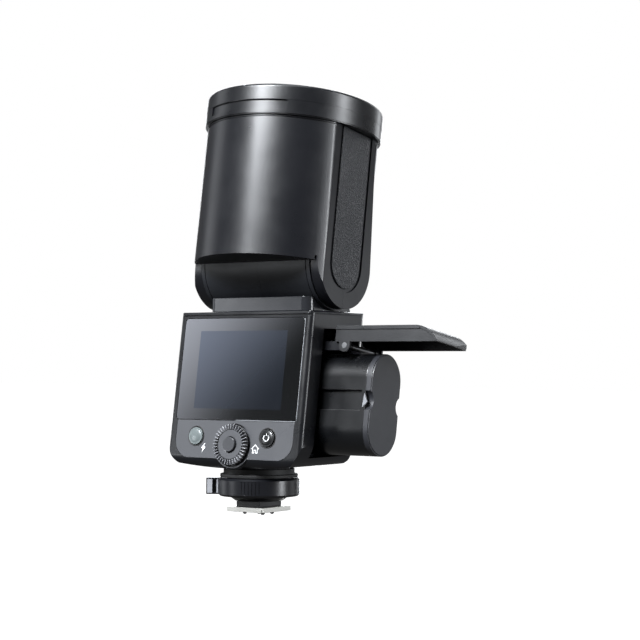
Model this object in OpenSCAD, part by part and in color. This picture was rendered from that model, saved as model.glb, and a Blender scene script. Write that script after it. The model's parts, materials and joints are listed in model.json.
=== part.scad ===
// Round-head speedlight flash: leaning body with a touch screen, battery that slides out of a side bay
// behind a hinged door, a neck that pans and tilts, and a locking hot-shoe foot.
// Frame: +Z up, +X towards the battery door, -Y towards the screen. Origin: underside of the shoe plate.

/* [Posture] */
// Forward lean of the body and of the resting head from the vertical, degrees
lean = 8.6; // [0:0.2:12]
// Height of the tilt axis above the shoe, along the leaning body
pivot_h = 104; // [102:0.5:108]
// Offset of the head's axis from the body's centre plane
head_y = -0.8; // [-2:0.1:2]

/* [Body] */
// Half width of the body
body_hw = 34.2; // [33:0.1:36]
// Height of the screen face's plane behind the centre plane
rear_y = -22.5; // [-24:0.1:-21]
// Front face's distance ahead of the centre plane
front_y = 18.5; // [17.5:0.1:20]
// Height of the body's level underside
body_z0 = 18; // [17:0.1:19]
// Height of the body's level top
body_z1 = 83.1; // [82.5:0.1:83.4]
// Wall thickness of the body shells
wall = 2; // [1.6:0.1:2.4]
// Radius of the body's lower corners
corner_r = 12; // [6:0.5:12]
// Parting plane between rear cover and middle frame
part_rear = -17; // [-18:0.1:-16]
// Parting plane between middle frame and front cover
part_front = 1.8; // [1:0.1:3]

/* [Screen and controls] */
// Half width of the screen glass
glass_hw = 31; // [28:0.5:31.5]
// Lower edge of the screen glass
glass_z0 = 35.3; // [35:0.1:37]
// Upper edge of the screen glass
glass_z1 = 77.9; // [74:0.1:78.5]
// Radius of the control dial
dial_r = 8.5; // [7.5:0.1:8.8]
// Height of the control dial's centre
dial_z = 25; // [24:0.1:26]
// Number of grips round the dial
dial_grips = 36; // [24:1:40]
// Distance of the two side buttons from the middle
button_x = 18.4; // [17:0.1:20]
// Height of the two side buttons
button_z = 28.3; // [27:0.1:29]
// Radius of the two side buttons
button_r = 3.6; // [3:0.1:4]

/* [Battery and door] */
// Thickness of the battery across the body
batt_t = 22; // [20:0.5:22]
// Height of the battery
batt_h = 41.6; // [38:0.2:41.6]
// Length of the battery
batt_l = 56.5; // [52:0.5:56.5]
// Outer end of the battery as it stands out of its bay
batt_x1 = 58; // [50:0.5:60]
// Half depth of the battery door
door_hy = 13; // [12.5:0.1:13]
// Depth of the door's tray
door_d = 6.5; // [6:0.1:7]
// Travel of the hinge carrier
carrier_travel = 18; // [16:0.5:18]

/* [Neck and head] */
// Radius of the tilt barrel
barrel_r = 19; // [18:0.1:19]
// Half length of the tilt barrel
barrel_hl = 28.2; // [27:0.1:28.3]
// Outer radius of the ring round the flash window
ring_r = 38; // [37:0.5:38]
// Outer radius of the head's shell
head_r = 36.8; // [36:0.1:37]
// Half width across the head's flat sides
head_flat = 33.5; // [33:0.1:34]
// Distance of the ring's lower edge from the tilt axis
ring_z0 = 57; // [54:0.5:60]
// Distance of the head's end from the tilt axis
head_z1 = 70; // [68:0.5:72]
// Half width of the grained side pads
pad_hw = 10.3; // [9:0.1:11]

/* [Shoe] */
// Width of the shoe plate (standard accessory shoe)
shoe_w = 18.6; // [18.4:0.1:18.6]
// Length of the shoe plate
shoe_l = 20.5; // [19:0.5:21]
// Thickness of the shoe plate
shoe_t = 2; // [1.9:0.05:2.05]
// Outer radius of the lock ring
lock_r = 17.2; // [16:0.1:18]

/* [Hidden] */
$fn = 64;
run = 0.05;                     // running clearance of a shaft in its bore
gap = 0.4;                      // gap between pieces that move past each other
pan_y = head_y * cos(lean) + pivot_h * sin(lean);
tilt_z = -head_y * sin(lean) + pivot_h * cos(lean);

batt_r = batt_t / 2;
batt_zc = 45.4;                 // height of the battery's middle
batt_arc = batt_h / 2 - batt_r; // from the battery's middle to the centres of its round ends
batt_x0 = batt_x1 - batt_l;
liner_x0 = -30.9;
liner_x1 = 21;
liner_t = 1.2;

hinge_z = 68;                   // height of the door's hinge axis
hinge_open_x = 44.2;            // hinge axis with the door open
hinge_shut_x = hinge_open_x - carrier_travel;
pin_r = 1.2;
arm_in = 8.6;                   // inner face of the carrier's arms
arm_out = 11.3;                 // outer face of the carrier's arms
open_hy = door_hy + 0.3;        // half depth of the bay's opening
sill_z = 23.3;                  // level sill below the opening
lintel_z = 76;                  // level edge above the opening
door_skin = 1.5;
door_low_z = 23.7;              // level lower end of the shut door
door_high_z = 73.6;             // level upper end, low enough to swing past the lintel

hub_r = 9;                      // pan hub
hub_hole_r = 3;
bearing_z0 = 77.9;
bearing_z1 = 81;
neck_z0 = 83.5;                 // underside of the neck base
neck_hx = 26.2;
neck_hy = 16.3;
neck_front_z = 85;
neck_rear_z = 89.4;
axle_r = 4;
bush_r = 6;
ear_r = 18.6;
ear_x0 = 28.6;
head_wall = 2.2;
flat_y = 17.4;                  // flat front of the head's lower part
flat_z1 = 44;                   // where that flat front begins to flare
under_z = -1.8;                 // level underside of the head's rear overhang
well_r = barrel_r + gap;        // the hollow that the tilt barrel turns in
pad_t = 1;
ring_step = 6.2;                // from the ring's lower edge to the band that accessories slip over
grip_t = 1.2;                   // wall of the dial's toothed rim
panel_r = 9.6;                  // collar round the dial

ring_top = 14;
ring_bot = 6.4;
tab_a = 208;                    // direction of the lock ring's thumb tab
collar_r = 12;

// ---------------------------------------------------------------- frames and helpers

// Children are drawn in the leaning body's frame.
module in_body() { rotate([-lean, 0, 0]) children(); }

// Children are drawn in the head's frame: tilt axis on X, light towards +Z.
module in_head() { translate([0, pan_y, tilt_z]) rotate([-lean, 0, 0]) children(); }

// A box from its lowest to its highest corner.
module span(lo, hi) { translate(lo) cube(hi - lo); }

// A cylinder along +Y from y0 to y1.
module rod_y(x, z, r, y0, y1) { translate([x, y1, z]) rotate([90, 0, 0]) cylinder(r = r, h = y1 - y0); }

// A cylinder along +X from x0 to x1.
module rod_x(y, z, r, x0, x1) { translate([x0, y, z]) rotate([0, 90, 0]) cylinder(r = r, h = x1 - x0); }

// Extrudes an outline drawn in X and Z along +Y from y0 to y1.
module along_y(y0, y1) { translate([0, y1, 0]) rotate([90, 0, 0]) linear_extrude(y1 - y0) children(); }

// A rectangle from lo to hi with its own radius for the lower and the upper corners.
module soft_rect(lo, hi, r_low, r_high) {
    for (s = [0, 1]) {
        translate([s ? hi[0] - r_low : lo[0] + r_low, lo[1] + r_low]) circle(r_low);
        translate([s ? hi[0] - r_high : lo[0] + r_high, hi[1] - r_high]) circle(r_high);
    }
    translate([lo[0] + r_low, lo[1]]) square([hi[0] - lo[0] - 2 * r_low, hi[1] - lo[1] - r_high]);
    translate([lo[0] + r_high, lo[1] + r_low]) square([hi[0] - lo[0] - 2 * r_high, hi[1] - lo[1] - r_low]);
    translate([lo[0], lo[1] + r_low]) square([hi[0] - lo[0], hi[1] - lo[1] - r_low - r_high]);
}

// The body's outer form, shrunk by t: level top and crowned bottom, leaning rear and front.
module body_form(t) {
    crown_r = 220;
    intersection() {
        along_y(-40, 60) intersection() {
            soft_rect([-body_hw + t, body_z0 + t], [body_hw - t, body_z1 - t], corner_r - t, max(0.4, 1.6 - t));
            translate([0, body_z0 + t + crown_r]) circle(crown_r, $fn = 256);
        }
        in_body() translate([0, 0, 5]) linear_extrude(95)
            soft_rect([-body_hw + t, rear_y + t], [body_hw - t, front_y - t], max(0.5, 2.2 - t), 6 - t);
        in_body() translate([-body_hw - 1, 0, 0]) rotate([90, 0, 90]) linear_extrude(2 * body_hw + 2)
            body_side(t);
    }
}

// Height, in the body's own Y and Z, of a world-level plane at height z.
function level(y, z) = (z + y * sin(lean)) / cos(lean);

// Side outline of the body in its own Y and Z: round lower rear and front edges, eased front top.
module body_side(t) {
    rr = 5 - t;
    fr = 6 - t;
    rear_c = [rear_y + t + rr, level(rear_y + t + rr, body_z0 + t) + rr / cos(lean)];
    front_c = [front_y - t - fr, level(front_y - t - fr, body_z0 + t) + fr / cos(lean)];
    translate(rear_c) circle(rr);
    translate(front_c) circle(fr);
    polygon([[rear_y + t, rear_c[1]], [rear_c[0] + rr * sin(lean), rear_c[1] - rr * cos(lean)], [-8, 10], [8, 10],
        [front_c[0] + fr * sin(lean), front_c[1] - fr * cos(lean)], [front_y - t, front_c[1]],
        [front_y - t, 84.8 - t], [front_y - t - 2.5, 88], [-18, 88], [rear_y + t, 80.4 - t]]);
}

// The part of the body's form between two of its own Y planes.
module body_slice(y0, y1, t) {
    intersection() {
        body_form(t);
        in_body() span([-50, y0, 0], [50, y1, 110]);
    }
}

// The battery's cross section, grown by g, with its long side along the body's Z.
module stadium(g) {
    translate([batt_arc, 0]) circle(batt_r + g);
    translate([-batt_arc, 0]) circle(batt_r + g);
    translate([-batt_arc, -batt_r - g]) square([2 * batt_arc, 2 * (batt_r + g)]);
}

// A bar of that section from x0 to x1.
module stadium_bar(g, x0, x1) {
    translate([x0, 0, batt_zc]) rotate([0, 90, 0]) linear_extrude(x1 - x0) stadium(g);
}

// Room for the door, cut through the +X side of the body.
module door_opening() {
    intersection() {
        in_body() span([24, -open_hy, 10], [40, open_hy, 90]);
        span([20, -40, sill_z], [50, 60, lintel_z]);
    }
}

// Room for the pan hub and the foot, cut through the level top and bottom.
module axis_holes() {
    translate([0, pan_y, bearing_z1 - 0.5]) cylinder(r = 11.5, h = 5);
    translate([0, 0, body_z0 - 3]) cylinder(r = 15.2, h = 6);
}

// Relief in the body's lower corner for the inner end of the battery bay.
module liner_pocket() {
    in_body() stadium_bar(gap + liner_t + 0.03, liner_x0 - 0.03, liner_x1);
}

// ---------------------------------------------------------------- foot and lock

module shoe_plate() {
    color("#c9cac8") difference() {
        intersection() {
            translate([-shoe_w / 2, -shoe_l / 2, 0]) cube([shoe_w, shoe_l, shoe_t]);
            translate([0, 0, -1]) rotate([0, 0, 45]) translate([-13.5, -13.5, 0]) cube([27, 27, 4]);
        }
        pin_places() translate([0, 0, -1]) cylinder(r = 1.3, h = 4);
        translate([0, 7.6, -1]) cylinder(r = 1, h = 4);
    }
}

// Places of the five electrical contacts: one in the middle and four around it.
module pin_places() {
    children();
    for (p = [[-4.6, -3.6], [4.6, -3.6], [-4.6, 3], [4.6, 3]]) translate([p[0], p[1], 0]) children();
}

module foot_post() {
    color("#161617") difference() {
        union() {
            translate([-6.15, -7.4, shoe_t]) cube([12.3, 14.8, 2.6]);
            intersection() {
                translate([-6.15, 5, shoe_t]) cube([12.3, 4, 2.6]);
                translate([0, 0, 0]) cylinder(r = 9.2, h = 8);
            }
            translate([0, 0, 4.4]) cylinder(r1 = 10, r2 = 12.6, h = 1.8);
            translate([0, 0, 6.19]) cylinder(r = collar_r - run, h = 8.4);
        }
        pin_places() translate([0, 0, 0]) cylinder(r = 1.2, h = 7.5);
        translate([0, 7.6, 0]) cylinder(r = 0.9, h = 10.5);
        translate([0, 0, 9.5]) cylinder(r = 10, h = 6);
    }
}

module foot_flange() {
    color("#121213") difference() {
        union() {
            translate([0, 0, 14.6]) cylinder(r = 14.9, h = 3.2);
            translate([0, 0, 17.79]) cylinder(r = 12.8, h = 3.7);
        }
        translate([0, 0, 14]) cylinder(r = 10, h = 7);
        flange_places() translate([0, 0, 14]) cylinder(r = 0.9, h = 9.5);
    }
}

// Places of the four screws between the post and the flange.
module flange_places() {
    for (a = [45 : 90 : 315]) rotate([0, 0, a]) translate([11.2, 0, 0]) children();
}

module foot_screws() {
    color("#8d8e90") flange_places() {
        translate([0, 0, 15]) cylinder(r = 0.88, h = 6.2);
    }
}

module contact_pins() {
    color("#d0b26a") {
        pin_places() translate([0, 0, -0.4]) cylinder(r = 1.0, h = 5.6);
        pin_places() translate([0, 0, -0.4]) sphere(r = 1.0);
    }
}

module lock_pin() {
    color("#b9babb") translate([0, 7.6, 0.5]) cylinder(r = 0.7, h = 7.6);
}

module lock_ring() {
    color("#2a2b2e") difference() {
        union() {
            translate([0, 0, ring_bot]) cylinder(r1 = lock_r - 0.9, r2 = lock_r, h = 0.9);
            translate([0, 0, ring_bot + 0.89]) cylinder(r = lock_r, h = ring_top - ring_bot - 1.68);
            translate([0, 0, ring_top - 0.8]) cylinder(r1 = lock_r, r2 = lock_r - 0.8, h = 0.8);
            rotate([0, 0, tab_a]) translate([lock_r - 2.5, -3.2, 6.9]) cube([7.2, 6.4, 6.8]);
        }
        translate([0, 0, ring_bot - 1]) cylinder(r = collar_r, h = 10);
        for (a = [0 : 30 : 150]) rotate([0, 0, 282 + a / 6])
            translate([lock_r - 0.25, -0.2, 7.4]) cube([1, 0.4, 5.6]);
        rotate([0, 0, tab_a]) translate([lock_r + 0.5, 1.8, 7.6]) cube([1.3, 2.2, 5.4]);
    }
}

module foot_seal() {
    color("#0f0f10") translate([0, 0, 14.25]) difference() {
        cylinder(r = 16.3, h = 1.4);
        translate([0, 0, -1]) cylinder(r = 14.95, h = 4);
    }
}

// ---------------------------------------------------------------- body shells

module rear_cover() {
    color("#2b2c2f") difference() {
        body_slice(rear_y, part_rear, 0);
        in_body() {
            along_y(rear_y - 1, rear_y + 1.4)
                soft_rect([-glass_hw - 0.15, glass_z0 - 0.15], [glass_hw + 0.15, glass_z1 + 0.15], 1.5, 1.5);
            span([-28, rear_y, 38], [28, part_rear + 1, 76]);
            along_y(rear_y - 1, rear_y + 1.6) panel_outline(0.05);
            rod_y(0.3, dial_z, panel_r + 0.05, rear_y - 1, part_rear + 1);
            for (s = [-1, 1]) rod_y(s * button_x - 0.9, button_z, 4.6, rear_y, part_rear + 1);
            span([-31, -19.6, 24], [31, part_rear + 1, 78.4]);
            span([-40, rear_y - 1, 78.5], [40, rear_y + 0.5, 79.3]);
        }
    }
}

// Outline of the control panel: the flat face below the screen, with the collar round the dial.
module panel_outline(g) {
    soft_rect([-30.2 - g, 19.2 - g], [30.2 + g, 35 + g], 7.5, 0.5);
    translate([0.3, dial_z]) circle(panel_r + g);
}

module control_panel() {
    color("#55565a") in_body() difference() {
        union() {
            along_y(rear_y, rear_y + 1.6) panel_outline(0);
            rod_y(0.3, dial_z, panel_r, rear_y, part_rear - 0.3);
        }
        rod_y(0.3, dial_z, dial_r + 0.3, rear_y - 1, rear_y + 1.5);
        rod_y(0.3, dial_z, 4.7, rear_y, part_rear + 1);
        rod_y(0.3, dial_z, panel_r - 1.4, rear_y + 3.2, part_rear + 1);
        for (s = [-1, 1]) rod_y(s * button_x - 0.9, button_z, button_r + 0.3, rear_y - 1, rear_y + 3);
    }
}

module middle_frame() {
    color("#242528") difference() {
        union() {
            difference() {
                body_slice(part_rear, part_front, 0);
                body_slice(part_rear - 1, part_front + 1, wall);
            }
            in_body() span([-32.3, -15.4, 67.4], [-30.6, 1.2, 80.6]);
        }
        door_opening();
        axis_holes();
        liner_pocket();
        in_body() {
            span([-36, -14.8, 68.6], [-32.2, 0.8, 79.4]);
            rod_y(-33.3, 69.9, 0.65, -15.6, 1.5);
            span([-36, -7.5, 72.1], [-28, 0.5, 76.5]);
            rod_x(-10.8, 74.3, 3.2, -36, -28);
        }
    }
}

module front_cover() {
    color("#26272a") difference() {
        union() {
            difference() {
                body_slice(part_front, front_y, 0);
                body_slice(part_front - 1, front_y - wall, wall);
            }
            intersection() {
                body_form(0.5);
                in_body() for (s = [-1, 1]) rod_y(s * 28.5, 81.6, 2.6, part_front, front_y - 1);
            }
        }
        door_opening();
        axis_holes();
        liner_pocket();
        in_body() {
            for (s = [-1, 1]) {
                rod_y(s * 28.5, 81.6, 1.0, part_front - 1, front_y + 1);
                rod_y(s * 28.5, 81.6, 2.0, front_y - 1.6, front_y + 1);
            }
            span([-13.2, front_y - 1, 27.8], [13.2, front_y + 1, 38.2]);
            span([-11.8, front_y - 3, 29.2], [11.8, front_y + 1, 36.8]);
        }
    }
}

module body_screws() {
    color("#8d8e90") in_body() for (s = [-1, 1]) {
        rod_y(s * 28.5, 81.6, 0.97, 4, front_y - 1.55);
        rod_y(s * 28.5, 81.6, 1.95, front_y - 1.58, front_y - 0.4);
    }
}

module af_window() {
    color("#5c1216") in_body() {
        span([-13.1, front_y - 0.98, 27.9], [13.1, front_y + 0.05, 38.1]);
        span([-11.7, front_y - 2.6, 29.3], [11.7, front_y - 0.97, 36.7]);
    }
}

module bay_liner() {
    color("#1b1c1d") in_body() {
        difference() {
            stadium_bar(gap + liner_t, liner_x0, liner_x1);
            stadium_bar(gap, liner_x0 + 1, liner_x1 + 1);
            for (i = [-1, 0, 1]) translate([liner_x0 - 1, i * 5 - 1.2, 40]) cube([3, 2.4, 6]);
        }
    }
}

module battery_contacts() {
    color("#c9a64c") in_body() for (i = [-1, 0, 1]) {
        span([liner_x0, i * 5 - 1.1, 40.2], [liner_x0 + 1.2, i * 5 + 1.1, 45.8]);
    }
}

module pan_bearing() {
    color("#7b7d80") difference() {
        union() {
            translate([0, pan_y, bearing_z0]) cylinder(r = 12.4, h = bearing_z1 - bearing_z0);
            translate([-25, pan_y - 5, bearing_z1 - 2.4]) cube([50, 10, 2.4]);
        }
        translate([0, pan_y, bearing_z0 - 1]) cylinder(r = hub_r + run, h = 6);
    }
}

// ---------------------------------------------------------------- screen and controls

module screen_glass() {
    color("#17181b") in_body() along_y(rear_y + 0.05, rear_y + 1.3)
        soft_rect([-glass_hw, glass_z0], [glass_hw, glass_z1], 1.5, 1.5);
}

module display_module() {
    color("#3a404c") in_body() span([-27.5, rear_y + 1.4, 38.4], [27.5, -17.6, 75.6]);
}

module dial() {
    color("#2a2b2d") in_body() difference() {
        union() {
            rod_y(0.3, dial_z, dial_r - grip_t - 0.01, -25.2, -21.3);
            rod_y(0.3, dial_z, 4.4, -21.31, -18.9);
        }
        rod_y(0.3, dial_z, 3.3, -27, -17);
        difference() {
            rod_y(0.3, dial_z, 6.1, -26, -24.7);
            rod_y(0.3, dial_z, 4.1, -27, -24);
        }
    }
}

// The toothed rim pressed on the dial.
module dial_grip() {
    color("#1b1c1e") in_body() difference() {
        rod_y(0.3, dial_z, dial_r, -25.2, -21.3);
        rod_y(0.3, dial_z, dial_r - grip_t, -27, -20);
        for (i = [0 : dial_grips - 1]) translate([0.3, 0, dial_z]) rotate([0, i * 360 / dial_grips, 0])
            span([dial_r - 0.6, -26, -0.32], [dial_r + 1, -22.4, 0.32]);
    }
}

module dial_encoder() {
    color("#6f7378") in_body() difference() {
        rod_y(0.3, dial_z, 6.4, -18.7, -16.4);
        rod_y(0.3, dial_z, 2.2, -20, -16);
    }
}

module centre_button() {
    color("#3b3c40") in_body() {
        rod_y(0.3, dial_z, 3.0, -25.7, -23.6);
        rod_y(0.3, dial_z, 1.6, -23.61, -18.0);
    }
}

// A side button: a cap in the panel and a plunger behind it.
module side_button(x) {
    in_body() {
        rod_y(x, button_z, button_r, rear_y - 0.6, rear_y + 1.4);
        rod_y(x, button_z, 4.3, rear_y + 1.7, rear_y + 2.4);
        rod_y(x, button_z, 1.5, rear_y + 1.39, rear_y + 4.4);
    }
}

module left_button() { color("#6b7470") side_button(-button_x - 0.9); }

module power_button() { color("#1d1e20") side_button(button_x - 0.9); }

module main_board() {
    color("#1f5a3a") in_body() difference() {
        span([-30, -15.6, 27], [30, -14.2, 76]);
        rod_y(0.3, dial_z, 7, -17, -13);
    }
}

// ---------------------------------------------------------------- ports

module port_cover() {
    color("#1a1b1c") in_body() difference() {
        union() {
            span([-34.1, -14.5, 69.9], [-32.5, 0.5, 79.1]);
            rod_y(-33.3, 69.9, 0.8, -14.5, 0.5);
        }
        rod_y(-33.3, 69.9, 0.5, -16, 2);
    }
}

module port_pin() {
    color("#8d8e90") in_body() rod_y(-33.3, 69.9, 0.45, -15.5, 1.4);
}

module usb_socket() {
    color("#a7a9ab") in_body() difference() {
        span([-32, -7.3, 72.3], [-24, 0.3, 76.3]);
        span([-33, -6.9, 72.7], [-25, -0.1, 75.9]);
    }
    color("#a7a9ab") in_body() span([-30.5, -5.7, 73.9], [-24.9, -1.3, 74.7]);
}

module sync_socket() {
    color("#8f9092") in_body() difference() {
        rod_x(-10.8, 74.3, 3.1, -32, -22);
        rod_x(-10.8, 74.3, 1.8, -33, -23);
    }
}

// ---------------------------------------------------------------- battery, door and carrier

// Children are drawn as they lie with the door shut; this swings them open.
module swung_open() {
    in_body() translate([hinge_open_x, 0, hinge_z]) rotate([0, -90, 0])
        translate([-hinge_shut_x, 0, -hinge_z]) rotate([lean, 0, 0]) children();
}

// Outline of the shut door in the body's X and Z, shrunk by t: flat outside with a curved lower end.
module door_side(t) {
    curve_r = 12.2;
    curve_z = 35;
    x_in = body_hw - door_d;
    intersection() {
        translate([x_in, 20]) square([door_d - t, 56]);
        union() {
            translate([body_hw - curve_r, curve_z]) circle(curve_r - t * 0.7);
            translate([x_in - 1, curve_z]) square([door_d + 1 - t, 45]);
        }
    }
}

// The shut door's block between its level lower and upper ends.
module door_block(t, hy) {
    intersection() {
        in_body() along_y(-hy, hy) door_side(t);
        span([0, -60, door_low_z], [60, 60, door_high_z]);
    }
}

module door_shell() {
    color("#2f3034") swung_open() difference() {
        union() {
            difference() {
                union() {
                    door_block(0, door_hy - 0.4);
                    difference() {
                        door_block(0, door_hy);
                        door_block(door_skin, door_hy + 1);
                    }
                }
                intersection() {
                    door_block(door_skin, 11.5);
                    span([0, -60, door_low_z + 1], [60, 60, 90]);
                }
            }
            in_body() for (s = [-1, 1]) {
                rod_y(hinge_shut_x, hinge_z, 2.6, s > 0 ? 11.5 : -12.6, s > 0 ? 12.6 : -11.5);
                span([hinge_shut_x, s > 0 ? 11.5 : -12.6, hinge_z - 2.6],
                     [28.5, s > 0 ? 12.6 : -11.5, hinge_z + 2.6]);
            }
        }
        in_body() rod_y(hinge_shut_x, hinge_z, pin_r, -14, 14);
    }
}

module door_liner() {
    color("#3a3b3e") swung_open() in_body() difference() {
        span([32.05, -11.45, 38], [32.69, 11.45, 72]);
        span([30, -1.2, 49], [34, 1.2, 59]);
    }
}

module hinge_pin() {
    color("#9a9c9e") in_body() rod_y(hinge_open_x, hinge_z, pin_r - 0.01, -12.6, 12.6);
}

module hinge_carrier() {
    color("#1d1e20") in_body() difference() {
        union() {
            for (s = [-1, 1]) {
                y0 = s > 0 ? arm_in : -arm_out;
                span([11, y0, 66.2], [hinge_open_x, y0 + arm_out - arm_in, 69.8]);
                rod_y(hinge_open_x, hinge_z, 1.8, y0, y0 + arm_out - arm_in);
            }
            span([10, -arm_out, 68.2], [14, arm_out, 70.4]);
        }
        rod_y(hinge_open_x, hinge_z, pin_r + run, -20, 20);
    }
}

module battery_case() {
    color("#1c1d1f") in_body() difference() {
        stadium_bar(0, batt_x0, batt_x1 - 2.6);
        for (s = [-1, 1]) span([batt_x0 - 1, s > 0 ? batt_r - 1.6 : -batt_r - 1, 42],
                               [53.6, s > 0 ? batt_r + 1 : -batt_r + 1.6, 50]);
        for (i = [-1, 0, 1]) span([batt_x0 - 1, i * 5 - 1.4, 39], [batt_x0 + 1.2, i * 5 + 1.4, 47]);
    }
}

module battery_cap() {
    color("#3c3d41") in_body() difference() {
        union() {
            stadium_bar(0, batt_x1 - 2.59, batt_x1 - 0.4);
            stadium_bar(-0.5, batt_x1 - 0.41, batt_x1);
        }
        for (s = [-1, 1]) translate([0, s * (batt_r + 1.6), 46])
            rotate([0, 90, 0]) translate([0, 0, batt_x1 - 4]) cylinder(r = 4.2, h = 6);
    }
}

module battery_terminals() {
    color("#c9a64c") in_body() for (i = [-1, 0, 1]) {
        span([batt_x0 + 0.4, i * 5 - 1.2, 39.5], [batt_x0 + 1.18, i * 5 + 1.2, 46.5]);
    }
}

// ---------------------------------------------------------------- neck

module neck_base() {
    color("#3d3e42") translate([0, pan_y, 0]) difference() {
        union() {
            translate([0, 0, neck_z0]) linear_extrude(neck_front_z - neck_z0)
                soft_rect([-neck_hx, -neck_hy], [neck_hx, neck_hy], 4, 3);
            intersection() {
                translate([0, 0, neck_z0]) linear_extrude(neck_rear_z - neck_z0)
                    soft_rect([-neck_hx, -neck_hy], [neck_hx, neck_hy], 4, 3);
                span([-40, -30, 80], [40, 3, 95]);
            }
        }
        rod_x(0, tilt_z, barrel_r + 0.02, -30, 30);
        translate([0, 0, 80]) cylinder(r = hub_r + 0.02, h = neck_front_z - 80);
    }
}

// One half of the tilt barrel: a thick drum with a closed end towards the ear.
module barrel_half(s) {
    x0 = s > 0 ? 1.4 : -barrel_hl;
    x1 = s > 0 ? barrel_hl : 1.38;
    difference() {
        rod_x(pan_y, tilt_z, barrel_r, x0, x1);
        rod_x(pan_y, tilt_z, axle_r + 0.02, -40, 40);
        rod_x(pan_y, tilt_z, barrel_r - 3, s > 0 ? x0 - 1 : x0 + 3, s > 0 ? x1 - 3 : x1 + 1);
        rod_x(pan_y, tilt_z, 13, s > 0 ? x1 - 0.8 : x0 - 1, s > 0 ? x1 + 1 : x0 + 0.8);
        translate([0, pan_y, 80]) cylinder(r = hub_r + 0.02, h = neck_front_z - 80);
    }
}

module barrel_left() { color("#303135") barrel_half(-1); }

module barrel_right() { color("#303135") barrel_half(1); }

module pan_hub() {
    color("#8b8d90") translate([0, pan_y, 0]) difference() {
        translate([0, 0, bearing_z0 - 0.4]) cylinder(r = hub_r, h = neck_front_z - bearing_z0 + 0.3);
        translate([0, 0, 70]) cylinder(r = hub_hole_r, h = 30);
    }
}

module pan_retainer() {
    color("#6e7073") translate([0, pan_y, 0]) difference() {
        translate([0, 0, bearing_z0 - 1.9]) cylinder(r = 11, h = 1.49);
        translate([0, 0, 70]) cylinder(r = hub_hole_r, h = 30);
    }
}

module tilt_axle() {
    color("#8b8d90") difference() {
        rod_x(pan_y, tilt_z, axle_r, -32.2, 32.2);
        rod_x(pan_y, tilt_z, 2, -40, 40);
    }
}

// ---------------------------------------------------------------- head

// The head's outer form, shrunk by t, without its lower end.
module head_form(t) {
    difference() {
        intersection() {
            translate([0, 0, -ear_r]) cylinder(r = head_r - t, h = ear_r + ring_z0, $fn = 96);
            span([-head_flat + t, -60, -60], [head_flat - t, 60, 90]);
        }
        translate([-50, 0, 0]) rotate([90, 0, 90]) linear_extrude(100)
            polygon([[flat_y - t, -30], [flat_y - t, flat_z1], [head_r + 1, ring_z0 + 1 + t], [60, ring_z0 + 1 + t],
                [60, -30]]);
    }
}

// One ear: round under the tilt axis, with a cheek that runs up the front of the flat side.
module ear(s) {
    x0 = s > 0 ? ear_x0 : -head_flat;
    x1 = s > 0 ? head_flat : -ear_x0;
    intersection() {
        rod_x(0, 0, ear_r, x0, x1);
        span([-50, -20, -20], [50, 20, 0.1]);
        union() {
            translate([0, 0, -20]) cylinder(r = head_r, h = 21, $fn = 96);
            span([-50, 0, -20], [50, 20, 1]);
        }
    }
    translate([x0, 0, 0]) rotate([90, 0, 90]) linear_extrude(x1 - x0)
        polygon([[0, 0], [ear_r, 0], [15.2, flat_z1 + 2], [0, flat_z1 + 2]]);
}

// The shell with its ears, before it is split into halves.
module head_body() {
    difference() {
        union() {
            difference() {
                head_form(0);
                difference() {
                    intersection() {
                        head_form(head_wall);
                        span([-60, -60, under_z + head_wall], [60, 60, 60]);
                    }
                    rod_x(0, 0, well_r + head_wall, -60, 60);
                    for (s = [-1, 1]) span([s > 0 ? ear_x0 : -60, -40, -30], [s > 0 ? 60 : -ear_x0, 40, 21]);
                }
                span([-60, -60, -40], [60, -ear_r, under_z]);
                span([-60, -ear_r - 1, -40], [60, ear_r + 1, 0]);
                rod_x(0, 0, well_r, -ear_x0, ear_x0);
            }
            for (s = [-1, 1]) ear(s);
        }
        rod_x(0, 0, bush_r, -60, 60);
        for (s = [-1, 1]) pad_recess(s);
        intersection() {
            translate([0, 0, ring_z0 - 1.4]) difference() {
                cylinder(r = 60, h = 0.7);
                translate([0, 0, -1]) cylinder(r = head_r - 0.35, h = 3, $fn = 96);
            }
            span([-60, -60, 0], [60, 60, 90]);
        }
    }
}

// Outline of a side pad in the head's Y and Z, grown by g: round below, running up to the ring.
module pad_outline(g) {
    circle(pad_hw + g);
    translate([-pad_hw - g, 0]) square([2 * (pad_hw + g), ring_z0 + 2]);
}

// A plate of that outline on one flat side, from x0 outwards to x1.
module pad_plate(s, g, x0, x1) {
    translate([s > 0 ? x0 : -x1, 0, 0]) rotate([90, 0, 90]) linear_extrude(x1 - x0) pad_outline(g);
}

// The groove and the recess that a side pad sits in.
module pad_recess(s) {
    pad_plate(s, 1.5, head_flat - 0.6, head_flat + 2);
    pad_plate(s, 0.02, head_flat - pad_t, head_flat + 2);
}

// Half of the head's shell: side -1 is the rear, 1 is the front.
module head_half(side) {
    in_head() intersection() {
        head_body();
        span([-60, side > 0 ? 0.01 : -60, -60], [60, side > 0 ? 60 : 0, 90]);
    }
}

module head_rear_shell() { color("#202124") head_half(-1); }

module head_front_shell() { color("#202124") head_half(1); }

module side_pad(s) {
    in_head() intersection() {
        pad_plate(s, 0, head_flat - pad_t, head_flat + 0.1);
        span([-60, -20, -20], [60, 20, ring_z0 - 0.1]);
    }
}

module left_pad() { color("#35363a") side_pad(-1); }

module right_pad() { color("#35363a") side_pad(1); }

module ear_bushes() {
    color("#8b8d90") in_head() for (s = [-1, 1]) difference() {
        rod_x(0, 0, bush_r - 0.02, s > 0 ? ear_x0 : -32.3, s > 0 ? 32.3 : -ear_x0);
        rod_x(0, 0, axle_r + run, -60, 60);
    }
}

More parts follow.
